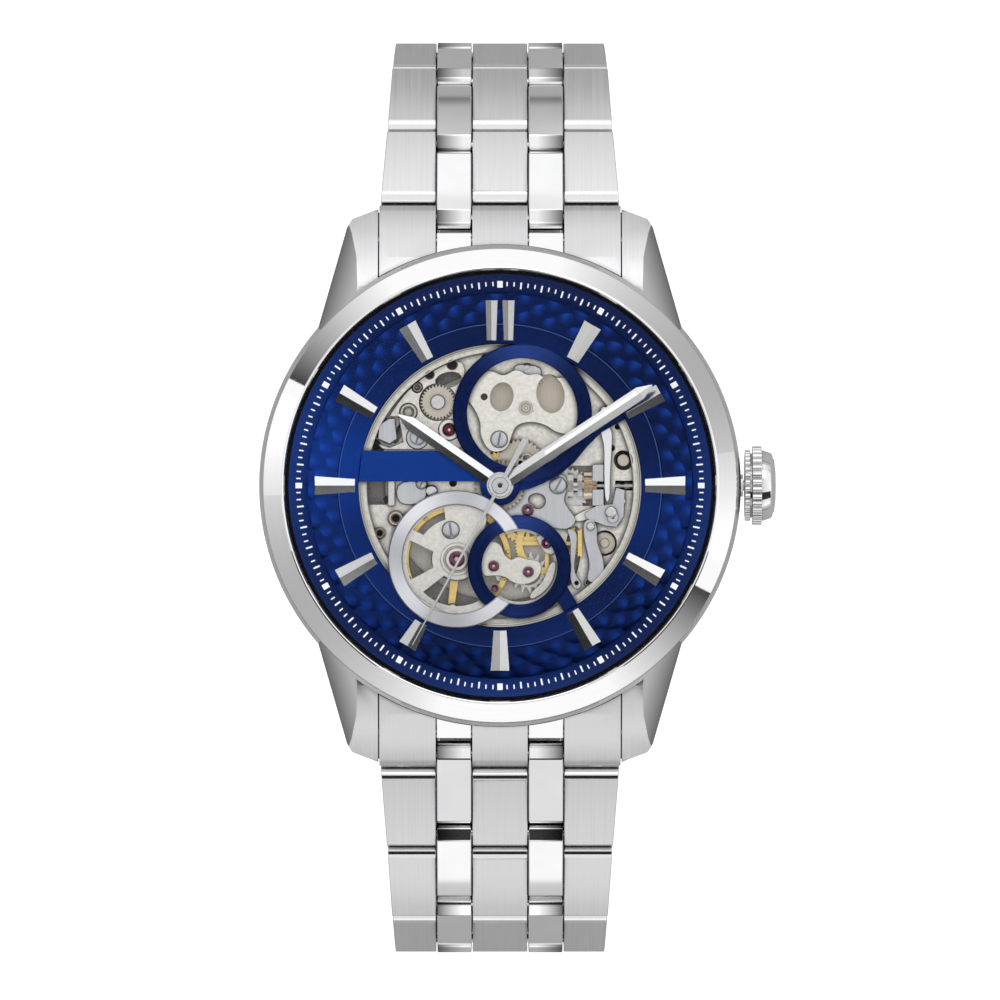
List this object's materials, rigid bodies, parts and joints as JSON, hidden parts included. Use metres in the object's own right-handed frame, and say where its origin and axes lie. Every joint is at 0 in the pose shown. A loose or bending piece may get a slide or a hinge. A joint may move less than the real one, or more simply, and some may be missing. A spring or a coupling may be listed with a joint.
{
  "type": "skeleton wristwatch with link bracelet",
  "caption": "Round self-winding skeleton wristwatch with an openworked blue dial, baton markers, side crown and a tapering steel link bracelet with a folding clasp.",
  "frame": {"origin": "on the axis of the hands, on the flat outer face of the case back", "axes": "+Z out of the dial, +Y towards twelve o'clock, +X towards the crown at three o'clock"},
  "size_m": [0.044, 0.079, 0.0444],
  "materials": {
    "steel_brushed": "satin",
    "steel_polished": "polished",
    "crystal": "clear",
    "dial_blue": "satin",
    "nickel": "satin",
    "steel_grey": "satin",
    "gilt": "polished",
    "brass": "satin",
    "spring_blue": "gloss"
  },
  "bodies": {
    "case": {"case_middle": "steel_brushed", "bezel": "steel_polished", "crystal": "crystal", "case_back": "steel_polished", "case_back_window": "crystal", "crown_tube": "steel_polished", "movement_ring": "nickel", "chapter_ring": "dial_blue", "dial": "dial_blue", "sub_ring": "steel_grey", "main_plate": "nickel", "train_bridge": "nickel", "balance_bridge": "nickel", "barrel_cover": "nickel", "end_link_12": "steel_brushed", "end_link_6": "steel_brushed", "spring_bar_12": "steel_polished", "spring_bar_6": "steel_polished"},
    "stem_pinions": {"sliding_pinion": "steel_polished", "winding_pinion": "brass"},
    "crown": {"crown": "steel_polished", "winding_stem": "steel_polished"},
    "crown_wheel": {"crown_wheel": "steel_grey"},
    "ratchet": {"ratchet_wheel": "steel_grey"},
    "setting_lever": {"setting_lever": "steel_grey"},
    "minute": {"minute_hand": "steel_polished", "cannon_pinion": "steel_polished", "centre_wheel": "gilt"},
    "hour": {"hour_hand": "steel_polished", "hour_wheel": "brass"},
    "minute_wheel": {"minute_wheel": "brass"},
    "third": {"third_wheel": "gilt"},
    "fourth": {"fourth_wheel": "gilt"},
    "seconds": {"seconds_hand": "steel_polished"},
    "escape": {"escape_wheel": "steel_polished"},
    "barrel": {"barrel": "brass", "mainspring": "spring_blue"},
    "pallet": {"pallet_fork": "steel_polished"},
    "balance": {"balance_wheel": "gilt", "hairspring": "spring_blue"},
    "rotor": {"rotor": "steel_polished"},
    "link_12_1": {"link_12_1": "steel_brushed"},
    "link_12_2": {"link_12_2": "steel_brushed"},
    "link_12_3": {"link_12_3": "steel_brushed"},
    "link_12_4": {"link_12_4": "steel_brushed"},
    "link_12_5": {"link_12_5": "steel_brushed"},
    "link_12_6": {"link_12_6": "steel_brushed"},
    "link_12_7": {"link_12_7": "steel_brushed"},
    "link_6_1": {"link_6_1": "steel_brushed"},
    "link_6_2": {"link_6_2": "steel_brushed"},
    "link_6_3": {"link_6_3": "steel_brushed"},
    "link_6_4": {"link_6_4": "steel_brushed"},
    "link_6_5": {"link_6_5": "steel_brushed"},
    "link_6_6": {"link_6_6": "steel_brushed"},
    "link_6_7": {"link_6_7": "steel_brushed"},
    "clasp_cover": {"clasp_cover": "steel_brushed"},
    "clasp_long_blade": {"clasp_long_blade": "steel_polished"},
    "clasp_short_blade": {"clasp_short_blade": "steel_polished"},
    "clasp_button_left": {"clasp_button_left": "steel_polished"},
    "clasp_button_right": {"clasp_button_right": "steel_polished"}
  },
  "joints": [
    {"name": "crown_turn", "type": "hinge", "parent": "case", "child": "stem_pinions", "pos_m": [0.007, 0, 0.0067], "axis": [1, 0, 0], "continuous": true},
    {"name": "crown_pull", "type": "slide", "parent": "stem_pinions", "child": "crown", "axis": [1, 0, 0], "range_m": [0, 0.0009]},
    {"name": "crown_wheel_turn", "type": "hinge", "parent": "case", "child": "crown_wheel", "pos_m": [0.006, -0.0003, 0.0028], "axis": [0, 0, 1], "continuous": true},
    {"name": "ratchet_turn", "type": "hinge", "parent": "case", "child": "ratchet", "pos_m": [0.0017, 0.00575, 0.0028], "axis": [0, 0, 1], "continuous": true},
    {"name": "setting_lever_turn", "type": "hinge", "parent": "case", "child": "setting_lever", "pos_m": [0.0096, -0.0027, 0.0077], "axis": [0, 0, 1], "range_deg": [-25, 0]},
    {"name": "minute_turn", "type": "hinge", "parent": "case", "child": "minute", "pos_m": [0, 0, 0.0095], "axis": [0, 0, -1], "continuous": true},
    {"name": "hour_turn", "type": "hinge", "parent": "case", "child": "hour", "pos_m": [0, 0, 0.0092], "axis": [0, 0, -1], "continuous": true},
    {"name": "minute_wheel_turn", "type": "hinge", "parent": "case", "child": "minute_wheel", "pos_m": [0.00174, 0.00193, 0.0077], "axis": [0, 0, -1], "continuous": true},
    {"name": "third_turn", "type": "hinge", "parent": "case", "child": "third", "pos_m": [0.00237, -0.00216, 0.0045], "axis": [0, 0, -1], "continuous": true},
    {"name": "fourth_turn", "type": "hinge", "parent": "case", "child": "fourth", "pos_m": [0.00399, -0.00493, 0.0053], "axis": [0, 0, -1], "continuous": true},
    {"name": "seconds_turn", "type": "hinge", "parent": "case", "child": "seconds", "pos_m": [0, 0, 0.0099], "axis": [0, 0, -1], "continuous": true},
    {"name": "escape_turn", "type": "hinge", "parent": "case", "child": "escape", "pos_m": [0.00243, -0.00742, 0.0046], "axis": [0, 0, -1], "continuous": true},
    {"name": "barrel_turn", "type": "hinge", "parent": "case", "child": "barrel", "pos_m": [0.0017, 0.00575, 0.0052], "axis": [0, 0, -1], "continuous": true},
    {"name": "pallet_swing", "type": "hinge", "parent": "case", "child": "pallet", "pos_m": [-0.00054, -0.00693, 0.0045], "axis": [0, 0, 1], "range_deg": [-7, 7]},
    {"name": "balance_swing", "type": "hinge", "parent": "case", "child": "balance", "pos_m": [-0.00367, -0.00627, 0.0052], "axis": [0, 0, 1], "range_deg": [-270, 270]},
    {"name": "rotor_turn", "type": "hinge", "parent": "case", "child": "rotor", "pos_m": [0, 0, 0.002], "axis": [0, 0, 1], "continuous": true},
    {"name": "hinge_12_1", "type": "hinge", "parent": "case", "child": "link_12_1", "pos_m": [0, 0.0229, 0.0035], "axis": [1, 0, 0], "range_deg": [0, 18]},
    {"name": "hinge_12_2", "type": "hinge", "parent": "link_12_1", "child": "link_12_2", "pos_m": [0, 0.02921, -0.00037], "axis": [1, 0, 0], "range_deg": [0, 10.5]},
    {"name": "hinge_12_3", "type": "hinge", "parent": "link_12_2", "child": "link_12_3", "pos_m": [0, 0.03471, -0.00532], "axis": [1, 0, 0], "range_deg": [0, 29]},
    {"name": "hinge_12_4", "type": "hinge", "parent": "link_12_3", "child": "link_12_4", "pos_m": [0, 0.03712, -0.01231], "axis": [1, 0, 0], "range_deg": [0, 33]},
    {"name": "hinge_12_5", "type": "hinge", "parent": "link_12_4", "child": "link_12_5", "pos_m": [0, 0.03533, -0.01949], "axis": [1, 0, 0], "range_deg": [0, 25]},
    {"name": "hinge_12_6", "type": "hinge", "parent": "link_12_5", "child": "link_12_6", "pos_m": [0, 0.03067, -0.02525], "axis": [1, 0, 0], "range_deg": [0, 22]},
    {"name": "hinge_12_7", "type": "hinge", "parent": "link_12_6", "child": "link_12_7", "pos_m": [0, 0.0242, -0.02883], "axis": [1, 0, 0], "range_deg": [0, 20]},
    {"name": "hinge_6_1", "type": "hinge", "parent": "case", "child": "link_6_1", "pos_m": [0, -0.0229, 0.0035], "axis": [1, 0, 0], "range_deg": [-12, 0]},
    {"name": "hinge_6_2", "type": "hinge", "parent": "link_6_1", "child": "link_6_2", "pos_m": [0, -0.02971, 0.00061], "axis": [1, 0, 0], "range_deg": [-11.5, 0]},
    {"name": "hinge_6_3", "type": "hinge", "parent": "link_6_2", "child": "link_6_3", "pos_m": [0, -0.03581, -0.00358], "axis": [1, 0, 0], "range_deg": [-29.5, 0]},
    {"name": "hinge_6_4", "type": "hinge", "parent": "link_6_3", "child": "link_6_4", "pos_m": [0, -0.03905, -0.01023], "axis": [1, 0, 0], "range_deg": [-34, 0]},
    {"name": "hinge_6_5", "type": "hinge", "parent": "link_6_4", "child": "link_6_5", "pos_m": [0, -0.03802, -0.01756], "axis": [1, 0, 0], "range_deg": [-26, 0]},
    {"name": "hinge_6_6", "type": "hinge", "parent": "link_6_5", "child": "link_6_6", "pos_m": [0, -0.03389, -0.0237], "axis": [1, 0, 0], "range_deg": [-24, 0]},
    {"name": "hinge_6_7", "type": "hinge", "parent": "link_6_6", "child": "link_6_7", "pos_m": [0, -0.02761, -0.02762], "axis": [1, 0, 0], "range_deg": [-23, 0]},
    {"name": "clasp_hinge", "type": "hinge", "parent": "link_12_7", "child": "clasp_cover", "pos_m": [0, 0.01689, -0.02999], "axis": [1, 0, 0], "range_deg": [0, 9]},
    {"name": "clasp_unfold", "type": "hinge", "parent": "clasp_cover", "child": "clasp_long_blade", "pos_m": [0, -0.01714, -0.03008], "axis": [1, 0, 0], "range_deg": [0, 100]},
    {"name": "clasp_unfold_short", "type": "hinge", "parent": "clasp_long_blade", "child": "clasp_short_blade", "pos_m": [0, 0.01167, -0.03037], "axis": [1, 0, 0], "range_deg": [-55, 0]},
    {"name": "button_left_push", "type": "slide", "parent": "clasp_cover", "child": "clasp_button_left", "axis": [1, 0, 0], "range_m": [0, 0.0006], "stiffness_N_per_m": 300},
    {"name": "button_right_push", "type": "slide", "parent": "clasp_cover", "child": "clasp_button_right", "axis": [-1, 0, 0], "range_m": [0, 0.0006], "stiffness_N_per_m": 300}
  ],
  "couplings": [
    {"joint": "hour_turn", "follows": "minute_turn", "ratio": 0.083333},
    {"joint": "minute_wheel_turn", "follows": "minute_turn", "ratio": -0.33333},
    {"joint": "third_turn", "follows": "minute_turn", "ratio": -8},
    {"joint": "fourth_turn", "follows": "minute_turn", "ratio": 60},
    {"joint": "seconds_turn", "follows": "minute_turn", "ratio": 60},
    {"joint": "escape_turn", "follows": "minute_turn", "ratio": -600},
    {"joint": "barrel_turn", "follows": "minute_turn", "ratio": -0.16667},
    {"joint": "crown_wheel_turn", "follows": "crown_turn", "ratio": 0.61538},
    {"joint": "ratchet_turn", "follows": "crown_turn", "ratio": -0.61538},
    {"joint": "setting_lever_turn", "follows": "crown_pull", "rad_per_m": -400}
  ]
}
